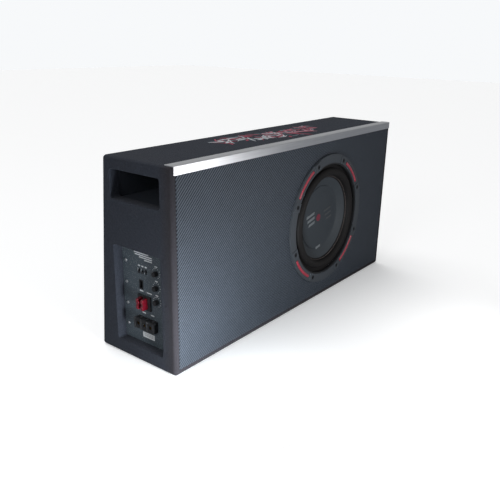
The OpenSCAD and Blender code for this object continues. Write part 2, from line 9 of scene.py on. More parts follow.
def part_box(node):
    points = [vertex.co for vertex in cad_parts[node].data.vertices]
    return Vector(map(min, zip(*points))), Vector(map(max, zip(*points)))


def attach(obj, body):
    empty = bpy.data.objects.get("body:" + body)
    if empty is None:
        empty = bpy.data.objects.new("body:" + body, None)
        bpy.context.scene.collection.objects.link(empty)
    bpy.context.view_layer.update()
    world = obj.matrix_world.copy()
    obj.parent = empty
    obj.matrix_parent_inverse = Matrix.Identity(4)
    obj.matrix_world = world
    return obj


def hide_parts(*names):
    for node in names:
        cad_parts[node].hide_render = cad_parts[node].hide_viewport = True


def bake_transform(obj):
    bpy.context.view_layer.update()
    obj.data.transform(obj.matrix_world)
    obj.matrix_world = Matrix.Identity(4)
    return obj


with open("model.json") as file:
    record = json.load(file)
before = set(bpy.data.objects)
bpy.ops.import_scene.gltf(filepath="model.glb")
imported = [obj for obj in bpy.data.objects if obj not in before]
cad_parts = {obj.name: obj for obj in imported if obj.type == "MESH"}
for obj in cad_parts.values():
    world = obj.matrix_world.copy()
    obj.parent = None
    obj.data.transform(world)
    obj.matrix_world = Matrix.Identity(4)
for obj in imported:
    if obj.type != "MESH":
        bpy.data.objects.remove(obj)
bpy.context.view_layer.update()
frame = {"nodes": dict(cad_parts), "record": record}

# ---- Camera and room ----
# A 43 mm lens stands off the box's left front corner, a little above its top. The box
# stands on a pale floor under soft lamps. Floor and backdrop look paler to the camera
# than they are to the box, so that the box keeps its dark tones on a white ground.
wrap_low, wrap_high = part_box("carpet_wrap")
front_y = wrap_low.y
box_top = wrap_high.z

eye = Vector((wrap_low.x - 0.5909, front_y - 0.6052, 0.5164))
heading = math.radians(52.15)
drop = math.radians(19.46)
roll = math.radians(1.15)
aim = Vector((math.sin(heading) * math.cos(drop), math.cos(heading) * math.cos(drop), -math.sin(drop)))
level = aim.cross(Vector((0, 0, 1))).normalized()
rise = level.cross(aim)
right = level * math.cos(roll) + rise * math.sin(roll)
upward = rise * math.cos(roll) - level * math.sin(roll)

camera = bpy.data.objects.new("camera", bpy.data.cameras.new("camera"))
bpy.context.scene.collection.objects.link(camera)
camera.data.lens = 43.06
camera.data.sensor_width = 36
camera.matrix_world = Matrix.Translation(eye) @ Matrix((right, upward, -aim)).transposed().to_4x4()
bpy.context.scene.camera = camera

class Wire:
    """An output socket of a material's node, on which arithmetic adds Math nodes."""

    def __init__(self, finish, socket):
        self.finish = finish
        self.socket = socket

    def math(self, operation, first, second):
        return self.finish.node("Math", {"operation": operation}, {0: first, 1: second})

    def __add__(self, other):
        return self.math("ADD", self, other)

    def __radd__(self, other):
        return self.math("ADD", other, self)

    def __sub__(self, other):
        return self.math("SUBTRACT", self, other)

    def __rsub__(self, other):
        return self.math("SUBTRACT", other, self)

    def __mul__(self, other):
        return self.math("MULTIPLY", self, other)

    def __rmul__(self, other):
        return self.math("MULTIPLY", other, self)

    def __truediv__(self, other):
        return self.math("DIVIDE", self, other)


class Finish:
    """A material under construction, with one method that adds any node to it."""

    def __init__(self, name):
        self.material = bpy.data.materials.new(name)
        self.material.use_nodes = True
        self.tree = self.material.node_tree
        self.shader = self.tree.nodes["Principled BSDF"]

    def plug(self, socket, value):
        if isinstance(value, Wire):
            self.tree.links.new(value.socket, socket)
        elif isinstance(value, tuple) and len(value) == 3 and socket.type == "RGBA":
            socket.default_value = (*value, 1)
        else:
            socket.default_value = value

    def node(self, kind, settings, inputs, output=0):
        node = self.tree.nodes.new("ShaderNode" + kind)
        for name, value in settings.items():
            if name == "stops":
                ramp = node.color_ramp.elements
                while len(ramp) < len(value):
                    ramp.new(0.5)
                for element, (position, colour) in zip(ramp, value):
                    element.position = position
                    element.color = (*colour, 1)
            else:
                setattr(node, name, value)
        for name, value in inputs.items():
            self.plug(node.inputs[name], value)
        return Wire(self, node.outputs[output])

    def place(self):
        return self.node("TexCoord", {}, {}, "Object")

    def axis(self, letter):
        return self.node("SeparateXYZ", {}, {0: self.place()}, letter)

    def noise(self, scale, detail=2.0, stretch=(1, 1, 1)):
        moved = self.node("Mapping", {}, {"Vector": self.place(), "Scale": stretch})
        return self.node("TexNoise", {}, {"Vector": moved, "Scale": scale, "Detail": detail})

    def blend(self, amount, first, second):
        return self.node(
            "Mix", {"data_type": "RGBA"}, {"Factor": amount, 6: first, 7: second}, 2
        )

    def ramp(self, amount, stops):
        return self.node("ValToRGB", {"stops": stops}, {"Fac": amount})

    def relief(self, height, depth, strength=1.0):
        bump = self.node("Bump", {}, {"Height": height, "Distance": depth, "Strength": strength})
        self.set({"Normal": bump})

    def set(self, values):
        for name, value in values.items():
            self.plug(self.shader.inputs[name], value)
        return self


def lamp(name, place, target, size, power, tint=(1.0, 1.0, 1.0)):
    """Adds a square soft lamp that faces a point."""
    light = bpy.data.lights.new(name, "AREA")
    light.shape = "SQUARE"
    light.size = size
    light.energy = power
    light.color = tint
    holder = bpy.data.objects.new(name, light)
    bpy.context.scene.collection.objects.link(holder)
    holder.location = place
    holder.rotation_euler = (Vector(target) - Vector(place)).to_track_quat("-Z", "Y").to_euler()


lamp("low_front_lamp", (-0.40, -0.31, 0.045), (-0.28, 0, 0.03), 0.08, 1.9, (0.90, 0.955, 1.0))
lamp("trim_lamp", (0.10, -0.62, 0.16), (-0.33, -0.09, 0.33), 0.26, 0.9)
lamp("end_lamp", (-2.3, -0.35, 1.1), (-0.3, 0, 0.15), 1.0, 11, (0.94, 0.97, 1.0))
overhead = bpy.data.lights.new("overhead_softbox", "SUN")
overhead.energy = 1.6
overhead.angle = math.radians(50)
overhead_holder = bpy.data.objects.new("overhead_softbox", overhead)
bpy.context.scene.collection.objects.link(overhead_holder)
overhead_holder.rotation_euler = (math.radians(-24), 0, 0)

bpy.context.scene.view_settings.view_transform = "Standard"
world = bpy.data.worlds.new("studio")
world.use_nodes = True
fill_light = 0.26
backdrop_lift = 0.70
air = world.node_tree
seen = air.nodes.new("ShaderNodeLightPath")
bright = air.nodes.new("ShaderNodeMath")
bright.operation = "MULTIPLY_ADD"
bright.inputs[1].default_value = backdrop_lift
bright.inputs[2].default_value = fill_light
air.links.new(seen.outputs["Is Camera Ray"], bright.inputs[0])
air.links.new(bright.outputs[0], air.nodes["Background"].inputs["Strength"])
air.nodes["Background"].inputs["Color"].default_value = (0.97, 0.985, 1.0, 1)
bpy.context.scene.world = world

bpy.ops.object.select_all(action="DESELECT")
bpy.ops.mesh.primitive_plane_add(size=16, location=(0, 0, -0.0005))
floor = bpy.context.object
floor.name = "floor"
bpy.ops.object.transform_apply(location=True, rotation=True, scale=True)
paper = Finish("studio_paper")
straight = paper.node("LightPath", {}, {}, "Is Camera Ray")
paper.set({
    "Base Color": paper.blend(straight, (0.22, 0.23, 0.25), (0.92, 0.92, 0.92)),
    "Emission Color": paper.blend(straight, (0, 0, 0), (0.28, 0.28, 0.28)),
    "Emission Strength": 1.0,
    "Roughness": 0.8,
})
floor.data.materials.append(paper.material)


# ---- Boards ----
# The box is glued up from medium-density fibreboard. The faces along the port are painted black before it is
# closed, and this near-black finish is also painted shade for the dark inside of the port; the others stay
# raw.
def plain(name, dark, light, grain, roughness, relief=0.0, values=None):
    """A finish whose colour wanders between two tones on a fine grain."""
    finish = Finish(name)
    speckle = finish.noise(grain, 3.0)
    finish.set({"Base Color": finish.blend(speckle, dark, light), "Roughness": roughness})
    if relief:
        finish.relief(speckle, relief)
    finish.set(values or {})
    return finish.material


def paint(node, material):
    """Gives a CAD part its finish."""
    part = frame["nodes"][node]
    part.data.materials.clear()
    part.data.materials.append(material)


raw_board = plain("raw_fibreboard", (0.30, 0.20, 0.12), (0.42, 0.30, 0.19), 900, 0.85, 0.0002)
port_shade_board = plain("black_fibreboard", (0.030, 0.036, 0.048), (0.052, 0.059, 0.073), 700, 0.8, 0.0002,
                    {"Specular IOR Level": 0.3})
for board in ("left_end_board", "right_end_board", "bottom_board",
              "amp_divider", "window_brace", "amp_mount_frame"):
    paint(board, raw_board)
# Near-black on the boards round the port: black paint that also paints the shade inside the port.
for board in ("front_baffle", "back_board", "top_board", "port_shelf"):
    paint(board, port_shade_board)


# ---- Wadding ----
# A loose slab of white polyester fibre, glued to the inside of the right end.
paint("wadding", plain("polyester", (0.62, 0.62, 0.60), (0.85, 0.85, 0.83), 160, 1.0, 0.002))


# ---- Carpet ----
# Charcoal needle felt wraps the whole box. It turns in over the edges of the port and of
# the amplifier's recess, and leaves the middle of the front bare for the skin.
back_face = next(mount for mount in frame["record"]["mounts"] if mount["name"] == "back")
back_tilt = back_face["axis"][2] / back_face["axis"][1]
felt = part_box("base_carpet")[1].z
half_w = wrap_high.x
edge_radius = 0.0055
skin_low, skin_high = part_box("front_skin")
mouth_depth = 0.0205
mouth_edge_r = 0.004
port_from_front = 0.0255
port_to_front = 0.1375
port_ease = 0.001
plate_ease = 0.0003


def back_y(z, inset=0.0):
    """Where the leaning back lies at a height, moved in by a distance."""
    at_height = back_face["pos_m"][1] - (z - back_face["pos_m"][2]) * back_tilt
    return at_height - inset * math.hypot(1, back_tilt)


def only(piece):
    """Selects one object and nothing else."""
    bpy.ops.object.select_all(action="DESELECT")
    piece.select_set(True)
    bpy.context.view_layer.objects.active = piece


def block(name, low, high):
    """Adds a block between two corners."""
    low, high = Vector(low), Vector(high)
    bpy.ops.object.select_all(action="DESELECT")
    bpy.ops.mesh.primitive_cube_add(size=1, location=(low + high) / 2, scale=high - low)
    piece = bpy.context.object
    piece.name = name
    bpy.ops.object.transform_apply(location=True, rotation=True, scale=True)
    return piece


def lean_back(piece, inset=0.0):
    """Moves a block's rear corners onto the leaning back."""
    for corner in piece.data.vertices:
        if corner.co.y > 0:
            corner.co.y = back_y(corner.co.z, inset)


def modify(piece, kind, **settings):
    """Adds a modifier and applies it."""
    only(piece)
    modifier = piece.modifiers.new(kind.lower(), kind)
    for name, value in settings.items():
        setattr(modifier, name, value)
    bpy.ops.object.modifier_apply(modifier=modifier.name)


def cut(piece, cutter, operation="DIFFERENCE"):
    """Cuts one piece with another, which is used up."""
    modify(piece, "BOOLEAN", object=cutter, operation=operation, solver="EXACT")
    bpy.data.objects.remove(cutter)


def bevel_edges(piece, chosen, width, segments):
    """Rounds the edges whose middle and direction pass a test."""
    only(piece)
    bpy.ops.object.mode_set(mode="EDIT")
    bpy.ops.mesh.select_mode(type="EDGE")
    bpy.ops.mesh.select_all(action="DESELECT")
    bpy.ops.object.mode_set(mode="OBJECT")
    places = piece.data.vertices
    for edge in piece.data.edges:
        a, b = (places[v].co for v in edge.vertices)
        edge.select = chosen((a + b) / 2, (b - a).normalized())
    bpy.ops.object.mode_set(mode="EDIT")
    bpy.ops.mesh.bevel(offset=width, segments=segments, profile=0.5)
    bpy.ops.object.mode_set(mode="OBJECT")


def soften(piece, width, segments=2, angle=40):
    """Breaks a piece's sharp edges and shades what is left smooth."""
    modify(piece, "BEVEL", width=width, segments=segments, limit_method="ANGLE",
           angle_limit=math.radians(angle), miter_outer="MITER_ARC", use_clamp_overlap=True)
    only(piece)
    bpy.ops.object.shade_smooth_by_angle(angle=math.radians(angle))
    modify(piece, "WEIGHTED_NORMAL", mode="FACE_AREA", keep_sharp=True)


def dress(piece, body, material, slot, *nodes):
    """Gives a piece its finish, and seats it on a body in place of CAD parts. The slot is not used."""
    piece.data.materials.clear()
    piece.data.materials.append(material)
    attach(piece, body)
    if nodes:
        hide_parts(*nodes)


plate_low, plate_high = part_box("amp_plate")
openings = {space["name"]: space["box_m"] for space in frame["record"]["physics"]["openings"]}
port_low, port_high = (Vector(corner) for corner in openings["port_slot"])
mouths = [
    (Vector((0, front_y + port_from_front, port_low.z - port_ease)),
     Vector((0, front_y + port_to_front, port_high.z + port_ease))),
    (Vector((0, plate_low.y - plate_ease, plate_low.z - plate_ease)),
     Vector((0, plate_high.y + plate_ease, plate_high.z + plate_ease))),
]


def lengthways(way):
    """Whether an edge runs along the box."""
    return abs(way.x) > 0.9


carpet = block("carpet", (-half_w, front_y, 0), (half_w, 1, box_top))
lean_back(carpet)
bevel_edges(
    carpet,
    lambda at, way: not (lengthways(way) and at.y < front_y + 0.002 and at.z > box_top - 0.002)
    and (lengthways(way) or abs(at.x) > half_w - 0.0005),
    edge_radius, 5,
)
hollow = block("hollow", (-half_w + felt, front_y + felt, felt), (half_w - felt, 1, box_top - felt))
lean_back(hollow, felt)
bevel_edges(
    hollow,
    lambda at, way: not (lengthways(way) and at.y < 0 and at.z > box_top - 0.01),
    edge_radius - felt, 3,
)
for low, high in mouths:
    cut(hollow, block("lining", (-half_w, low.y - felt, low.z - felt),
                      (-half_w + mouth_depth, high.y + felt, high.z + felt)))
cut(carpet, hollow)
for low, high in mouths:
    mouth = block("mouth", (-half_w - 0.01, low.y, low.z), (-half_w + 0.06, high.y, high.z))
    bevel_edges(mouth, lambda at, way: lengthways(way), mouth_edge_r, 4)
    cut(carpet, mouth)
cut(carpet, block("window", (skin_low.x, front_y - 0.01, skin_low.z),
                  (skin_high.x, front_y + felt + 0.001, skin_high.z)))
soften(carpet, 0.0012, 3, 50)

needle_felt = Finish("needle_felt")
pile = needle_felt.noise(1300, 4.0)
tufts = needle_felt.noise(260, 3.0)
wear = needle_felt.noise(14, 3.0)
felt_tone = needle_felt.blend(pile * 0.6 + tufts * 0.5, (0.009, 0.011, 0.016), (0.056, 0.064, 0.083))
# The felt is tinted brown towards the front face, fully within about 6 mm of it and fading out 26 mm back.
brown_band_width = 0.026
front_edge = needle_felt.node("Math", {"operation": "MULTIPLY", "use_clamp": True},
                              {0: front_y + brown_band_width - needle_felt.axis("Y"), 1: 50.0})
felt_tone = needle_felt.blend(front_edge * 0.55, felt_tone, (0.040, 0.031, 0.030))
needle_felt.set({
    "Base Color": needle_felt.blend(wear * 0.35, felt_tone, (0.036, 0.033, 0.036)),
    "Roughness": 1.0,
    "Sheen Weight": 0.04,
    "Sheen Roughness": 0.5,
    "Specular IOR Level": 0.05,
})
needle_felt.relief(pile * 0.5 + tufts * 0.8, 0.0012, 0.9)
dress(carpet, "box", needle_felt.material, "carpet", "carpet_wrap", "base_carpet")


# ---- Front skin ----
# A thin panel faced with satin vinyl that imitates a two-by-two twill of flat tows.
# Its edges are broken, and it is glued to the front inside the carpet's border.
ring_low, ring_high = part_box("mounting_ring")
driver = Vector(((ring_low.x + ring_high.x) / 2, skin_low.y, (ring_low.z + ring_high.z) / 2))
skin_hole_r = 0.1175
tow = 0.00155


def drum(name, middle, along, radius, length, sides=64):
    """Adds a closed cylinder whose axis runs along a vector."""
    bpy.ops.object.select_all(action="DESELECT")
    bpy.ops.mesh.primitive_cylinder_add(
        vertices=sides, radius=radius, depth=length, location=middle,
        rotation=Vector((0, 0, 1)).rotation_difference(Vector(along)).to_euler(),
    )
    piece = bpy.context.object
    piece.name = name
    bpy.ops.object.transform_apply(location=True, rotation=True, scale=True)
    return piece


skin = block("front_panel_skin", skin_low, skin_high)
cut(skin, drum("cutter", driver, (0, 1, 0), skin_hole_r, 0.02, 96))
soften(skin, 0.0006, 3, 60)

twill = Finish("twill_vinyl")
across = twill.axis("X") / tow
along = twill.axis("Z") / tow
column = twill.node("Math", {"operation": "FLOOR"}, {0: across})
row = twill.node("Math", {"operation": "FLOOR"}, {0: along})
step = twill.node("Math", {"operation": "FLOORED_MODULO"}, {0: column - row, 1: 4.0})
upright = twill.node("Math", {"operation": "LESS_THAN"}, {0: step, 1: 1.5})
side_of = twill.node("Math", {"operation": "FRACT"}, {0: across}) * 2.0 - 1.0
side_on = twill.node("Math", {"operation": "FRACT"}, {0: along}) * 2.0 - 1.0
crown = upright * (1.0 - side_of * side_of) + (1.0 - upright) * (1.0 - side_on * side_on)
# Painted light in the colour: each tow is painted lighter on its crown and darker at its sides, as painted
# shade between the tows, and upright tows are painted brighter than flat ones as a painted sheen. A little
# noise varies the tone.
weave_shade_and_sheen = crown * (0.25 + upright * 0.65) + twill.noise(60, 2.0) * 0.10
weave_shade_ramp = [(0.0, (0.007, 0.009, 0.012)), (0.45, (0.024, 0.029, 0.037)), (1.0, (0.15, 0.175, 0.215))]
twill.set({
    "Base Color": twill.ramp(weave_shade_and_sheen, weave_shade_ramp),
    "Roughness": 0.45,
    "Specular IOR Level": 0.22,
})
twill.relief(crown, 0.00025, 0.5)
dress(skin, "box", twill.material, "skin", "front_skin")


# ---- Trim angle ----
# A length of brushed aluminium angle, glued over the top front edge of the box.
# Its outer bend is rounded and its sawn ends are deburred.
trim_low, trim_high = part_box("trim_angle")
trim_t = 0.0015
trim = block("trim_rail", trim_low, (trim_high.x, trim_low.y + trim_t, trim_high.z))
cut(trim, block("flange", (trim_low.x, trim_low.y + trim_t / 2, trim_high.z - trim_t), trim_high), "UNION")
bevel_edges(
    trim,
    lambda at, way: lengthways(way) and at.y < trim_low.y + 0.0002 and at.z > trim_high.z - 0.0002,
    0.0013, 5,
)
soften(trim, 0.00025, 2, 50)

brushed = Finish("brushed_aluminium")
lines = brushed.noise(900, 3.0, (0.012, 1, 1))
cloud = brushed.noise(9, 2.0, (1, 1, 1))
brushed.set({
    "Base Color": brushed.blend(lines * 0.7 + cloud * 0.3, (0.66, 0.67, 0.70), (0.97, 0.97, 0.98)),
    "Roughness": lines * 0.16 + 0.26,
    "Metallic": 1.0,
})
brushed.relief(lines, 0.00008, 0.5)
dress(trim, "box", brushed.material, "trim", "trim_angle")


# ---- Printed swooshes on the top ----
# Loose brush strokes in grey, red and white ink, pressed onto the carpet of the top.
# Each stroke is a thin film that tapers to a point at both ends.
ink_area = (Vector((-0.162, front_y + 0.034)), Vector((0.172, front_y + 0.132)))


def stroke(name, length, width, bend):
    """Adds a tapered stroke along X about the origin, flat in XY."""
    bpy.ops.object.select_all(action="DESELECT")
    bpy.ops.mesh.primitive_grid_add(x_subdivisions=14, y_subdivisions=2, size=2)
    piece = bpy.context.object
    piece.name = name
    for corner in piece.data.vertices:
        t, side = corner.co.x, corner.co.y
        reach = max(0.04, (1 - abs(t) ** 1.7)) * (0.7 + 0.3 * math.cos(2.6 * t + length * 90))
        corner.co = (t * length / 2, side * width / 2 * reach + bend * (1 - t * t), 0)
    return piece


def turn_and_place(piece, angle, place):
    """Turns a flat piece about Z and moves it."""
    piece.data.transform(Matrix.Translation(place) @ Matrix.Rotation(angle, 4, "Z"))


def join(pieces, name):
    """Joins pieces into one object."""
    bpy.ops.object.select_all(action="DESELECT")
    for piece in pieces:
        piece.select_set(True)
    bpy.context.view_layer.objects.active = pieces[0]
    bpy.ops.object.join()
    pieces[0].name = name
    return pieces[0]


dice = random.Random(23)
inks = [
    ("grey_strokes", (0.20, 0.24, 0.28), 0.00016, 40, 0.0, 1.0),
    ("red_strokes", (0.46, 0.05, 0.10), 0.00026, 50, 0.0, 1.0),
    ("rose_strokes", (0.62, 0.30, 0.36), 0.00036, 22, 0.42, 1.0),
    ("white_strokes", (0.70, 0.74, 0.78), 0.00046, 30, 0.02, 0.58),
]
for name, colour, height, count, first, last in inks:
    strokes = []
    for k in range(count):
        share = first + (last - first) * (k + dice.uniform(0.1, 0.9)) / count
        x = ink_area[0].x + 0.02 + share * (ink_area[1].x - ink_area[0].x - 0.04)
        middle = (ink_area[0].y + ink_area[1].y) / 2
        spread = 0.036 * (1 - 0.6 * abs(2 * share - 1))
        y = middle + 0.012 * math.sin(6.0 * share + 0.7) + dice.uniform(-spread, spread)
        slant = dice.choice((-1, 1)) * dice.uniform(8, 70) if dice.random() < 0.7 else dice.uniform(-14, 14)
        length = dice.uniform(0.016, 0.046)
        width = dice.uniform(0.0042, 0.0100)
        piece = stroke(name, length, width, dice.uniform(-0.004, 0.005))
        turn_and_place(piece, math.radians(slant), (x, y, box_top - 0.0002))
        strokes.append(piece)
    film = join(strokes, name)
    modify(film, "SOLIDIFY", thickness=0.0002 + height, offset=1.0)
    ink = plain(name, tuple(0.5 * c for c in colour), colour, 1400, 0.75, 0.0002)
    dress(film, "box", ink, "carpet")


# ---- Driver frame ----
# The basket is pressed from steel and painted black. Foam seals its flange to the skin, and
# a moulded ring with raised pads and four channels covers the flange.
def copy_of(node, name):
    """Adds a merged copy of a CAD part's mesh, with flat faces joined up."""
    piece = bpy.data.objects.new(name, frame["nodes"][node].data.copy())
    bpy.context.scene.collection.objects.link(piece)
    only(piece)
    bpy.ops.object.mode_set(mode="EDIT")
    bpy.ops.mesh.select_all(action="SELECT")
    bpy.ops.mesh.remove_doubles(threshold=0.000002)
    bpy.ops.mesh.dissolve_limited(angle_limit=math.radians(0.4))
    bpy.ops.object.mode_set(mode="OBJECT")
    return piece


black_paint = plain("black_paint", (0.012, 0.012, 0.013), (0.022, 0.022, 0.024), 500, 0.42, 0.00004)
satin_black = plain("satin_black_moulding", (0.048, 0.054, 0.062), (0.070, 0.078, 0.088), 1500, 0.42, 0.00003,
                    {"Specular IOR Level": 0.3})
black_foam = plain("black_foam", (0.008, 0.008, 0.008), (0.02, 0.02, 0.02), 1200, 0.95, 0.0002)
paint("basket", black_paint)
paint("basket_gasket", black_foam)
trim_ring = copy_of("mounting_ring", "driver_trim_ring")
soften(trim_ring, 0.0005, 2, 35)
dress(trim_ring, "box", satin_black, "ring", "mounting_ring")


# ---- Ring inserts and screws ----
# Four glossy red bars are pressed into the ring's channels, and eight black
# hex-socket screws go through the pads into the baffle.
red_gloss = plain("red_gloss", (0.30, 0.020, 0.036), (0.46, 0.050, 0.078), 60, 0.22, 0.0,
                  {"Coat Weight": 1.0, "Coat Roughness": 0.12})
inserts = copy_of("ring_inserts", "red_ring_inserts")
soften(inserts, 0.0006, 3, 40)
dress(inserts, "box", red_gloss, "insert", "ring_inserts")

black_oxide = plain("black_oxide", (0.02, 0.02, 0.022), (0.05, 0.05, 0.055), 2500, 0.38, 0.0,
                    {"Metallic": 0.8})
bolts = copy_of("ring_screws", "ring_socket_screws")
soften(bolts, 0.0003, 2, 40)
dress(bolts, "box", black_oxide, "black_screw", "ring_screws")


# ---- Cone and dust cap ----
# The cone is pressed fibre with a satin coating, and a wide, nearly flat cap covers its
# middle. Both are turned shapes with rounded lips.
cone_low, cone_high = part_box("cone")
cap_low, cap_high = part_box("dust_cap")
cone_r = (cone_high.x - cone_low.x) / 2
cap_r = (cap_high.x - cap_low.x) / 2
rim_depth = cone_low.y - driver.y
cone_pitch = 0.479
cap_middle = 0.0166
cap_lip = 0.0145
turns = 120


def about_driver(angle):
    """A turn about the driver's axis."""
    return Matrix.Translation(driver) @ Matrix.Rotation(angle, 4, "Y") @ Matrix.Translation(-driver)


def spun(name, outline, steps, start=0.0, sweep=360.0):
    """Turns an outline of radius and depth about the driver's axis."""
    mesh = bpy.data.meshes.new(name)
    points = [(driver.x + radius, driver.y + depth, driver.z) for radius, depth in outline]
    loop = [(k, (k + 1) % len(points)) for k in range(len(points))]
    mesh.from_pydata(points, loop, [])
    piece = bpy.data.objects.new(name, mesh)
    bpy.context.scene.collection.objects.link(piece)
    mesh.transform(about_driver(math.radians(start)))
    only(piece)
    bpy.ops.object.mode_set(mode="EDIT")
    bpy.ops.mesh.select_all(action="SELECT")
    bpy.ops.mesh.spin(steps=steps, angle=math.radians(sweep), center=driver, axis=(0, 1, 0))
    bpy.ops.mesh.select_all(action="SELECT")
    bpy.ops.mesh.remove_doubles(threshold=0.000005)
    if sweep < 360:
        bpy.ops.mesh.fill_holes(sides=0)
    bpy.ops.mesh.select_all(action="SELECT")
    bpy.ops.mesh.normals_make_consistent(inside=False)
    bpy.ops.object.mode_set(mode="OBJECT")
    bpy.ops.object.shade_smooth_by_angle(angle=math.radians(40))
    return piece


def cone_depth(radius):
    """Depth of the cone's front behind the skin."""
    return rim_depth + (cone_r - radius) * cone_pitch


def cap_depth(radius):
    """Depth of the cap's front: a shallow dish that curls up at its lip."""
    return cap_middle - 0.0008 * (radius / cap_r) ** 2 - 0.0013 * (radius / cap_r) ** 14


former_r = (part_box("coil_former")[1].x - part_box("coil_former")[0].x) / 2
cone_profile = [(cone_r - 0.0005, rim_depth + 0.0003), (former_r, cone_depth(former_r)),
                (former_r, cone_depth(former_r) + 0.0012), (cone_r - 0.0003, rim_depth + 0.0014),
                (cone_r, rim_depth + 0.0008)]
pressed_cone = spun("pressed_cone", cone_profile, turns)
cone_finish = plain("coated_fibre", (0.036, 0.043, 0.050), (0.056, 0.064, 0.072), 800, 0.5, 0.00008,
                    {"Specular IOR Level": 0.3})
dress(pressed_cone, "cone_assembly", cone_finish, "cone", "cone")

cap_front = [(cap_r * k / 24, cap_depth(cap_r * k / 24)) for k in range(24)]
cap_profile = cap_front + [
    (cap_r - 0.0006, cap_lip + 0.0001), (cap_r, cap_lip + 0.0006), (cap_r, cone_depth(cap_r) - 0.0002),
    (cap_r - 0.003, cone_depth(cap_r - 0.003) - 0.0002), (cap_r - 0.008, cap_middle + 0.0006),
    (0, cap_middle + 0.001),
]
pressed_cap = spun("pressed_cap", cap_profile, turns)
cap_finish = plain("satin_cap", (0.036, 0.043, 0.050), (0.052, 0.060, 0.069), 1200, 0.45, 0.00005,
                   {"Specular IOR Level": 0.3})
dress(pressed_cap, "cone_assembly", cap_finish, "cap", "dust_cap")


# ---- Cap emblem and mark ----
# A plain printed device: a red disc between two groups of slanted bars, and one short
# grey bar below it. All are thin films on the cap.
def lay_on(piece, depth_at, thickness):
    """Lays a flat XY film on a turned surface, by each corner's distance from the driver's axis."""
    for corner in piece.data.vertices:
        u, v = corner.co.x, corner.co.y
        corner.co = (driver.x + u, driver.y + depth_at(math.hypot(u, v)) - thickness, driver.z + v)
    only(piece)
    bpy.ops.object.mode_set(mode="EDIT")
    bpy.ops.mesh.select_all(action="SELECT")
    bpy.ops.mesh.normals_make_consistent(inside=False)
    bpy.ops.object.mode_set(mode="OBJECT")
    modify(piece, "SOLIDIFY", thickness=thickness * 2, offset=0.0)


def bar(name, length, width, angle, place):
    """Adds a flat bar with slanted ends in XY."""
    bpy.ops.object.select_all(action="DESELECT")
    bpy.ops.mesh.primitive_grid_add(x_subdivisions=8, y_subdivisions=4, size=1)
    piece = bpy.context.object
    piece.name = name
    for corner in piece.data.vertices:
        corner.co.x *= length
        corner.co.x += 0.35 * corner.co.y * width
        corner.co.y *= width
    turn_and_place(piece, angle, (*place, 0))
    return piece


grey_print = plain("grey_print", (0.13, 0.145, 0.155), (0.22, 0.235, 0.245), 700, 0.5)
dim_print = plain("dim_print", (0.045, 0.05, 0.055), (0.085, 0.09, 0.095), 700, 0.5)
red_print = plain("red_print", (0.14, 0.018, 0.035), (0.22, 0.028, 0.05), 700, 0.5)
white_print = plain("white_print", (0.60, 0.62, 0.63), (0.78, 0.80, 0.81), 900, 0.5)
film_t = 0.00018
bar_pitch = 0.0095
bar_angle = math.radians(12)
left_bars = [
    bar("bar", 0.030 - 0.004 * k, 0.0052, bar_angle, (-0.034 + 0.003 * k, 0.010 - bar_pitch * k))
    for k in range(3)
]
right_bars = [
    bar("bar", 0.026 - 0.003 * k, 0.0040, bar_angle, (0.030 + 0.004 * k, 0.012 - bar_pitch * k))
    for k in range(3)
]
for bars, name, ink in (
    (left_bars, "emblem_left_bars", grey_print),
    (right_bars, "emblem_right_bars", dim_print),
):
    device = join(bars, name)
    lay_on(device, cap_depth, film_t)
    dress(device, "cone_assembly", ink, "cap")
bpy.ops.object.select_all(action="DESELECT")
bpy.ops.mesh.primitive_circle_add(vertices=32, radius=0.0075, fill_type="TRIFAN", location=(-0.003, 0.0, 0))
disc = bpy.context.object
disc.name = "emblem_disc"
bpy.ops.object.transform_apply(location=True, rotation=True, scale=True)
lay_on(disc, cap_depth, 0.0002)
dress(disc, "cone_assembly", red_print, "cap")
mark = bar("cone_mark", 0.018, 0.0042, math.radians(9), (-0.001, -0.064))
lay_on(mark, cap_depth, film_t)
dress(mark, "cone_assembly", grey_print, "cap")


# ---- Surround ----
# A moulded rubber half roll joins the cone to the basket's ledge. It is made as a ring of sectors.
surround_low, surround_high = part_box("surround")
outer_r = (surround_high.x - surround_low.x) / 2
roll_r = 0.0075
rubber_t = 0.0012
roll_middle = 0.097
roll_base = 0.0033
sectors = 60
roll_steps = 12
outer_side = [(outer_r, roll_base), (roll_middle + roll_r + rubber_t + 0.0004, roll_base)]
crest = [
    (roll_middle + (roll_r + rubber_t) * math.cos(math.pi * k / roll_steps),
     roll_base - (roll_r + rubber_t) * math.sin(math.pi * k / roll_steps))
    for k in range(roll_steps + 1)
]
inner_side = [
    (cone_r - 0.0048, cone_depth(cone_r - 0.0048) - rubber_t),
    (cone_r - 0.006, cone_depth(cone_r - 0.006) - 0.0003),
    (roll_middle - roll_r, cone_depth(roll_middle - roll_r) - 0.0001),
]
underside = [
    (roll_middle - roll_r * math.cos(math.pi * k / roll_steps),
     roll_base - roll_r * math.sin(math.pi * k / roll_steps))
    for k in range(roll_steps + 1)
]
landing = [(roll_middle + roll_r, roll_base + rubber_t - 0.0001), (outer_r, roll_base + rubber_t - 0.0001)]
section = outer_side + crest + inner_side + underside + landing
rubber = plain("moulded_rubber", (0.006, 0.0055, 0.0055), (0.015, 0.013, 0.0125), 1100, 0.6, 0.00006,
               {"Specular IOR Level": 0.22})
for k in range(sectors):
    start = 360 / sectors * k
    sector = spun("surround_%02d" % k, section, 2, start, 360 / sectors)
    sector.data.materials.append(rubber)
    if k == 0:
        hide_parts("surround")
    middle = math.radians(start + 180 / sectors)
    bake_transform(sector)


# ---- Stitching ----
# Brown thread sews the surround to the cone's rim, one short stitch every 4 mm. The thread is coloured paler
# than it is, as a painted highlight along the cone's rim.
stitch_count = 140
stitch_r = cone_r - 0.0035
bpy.ops.object.select_all(action="DESELECT")
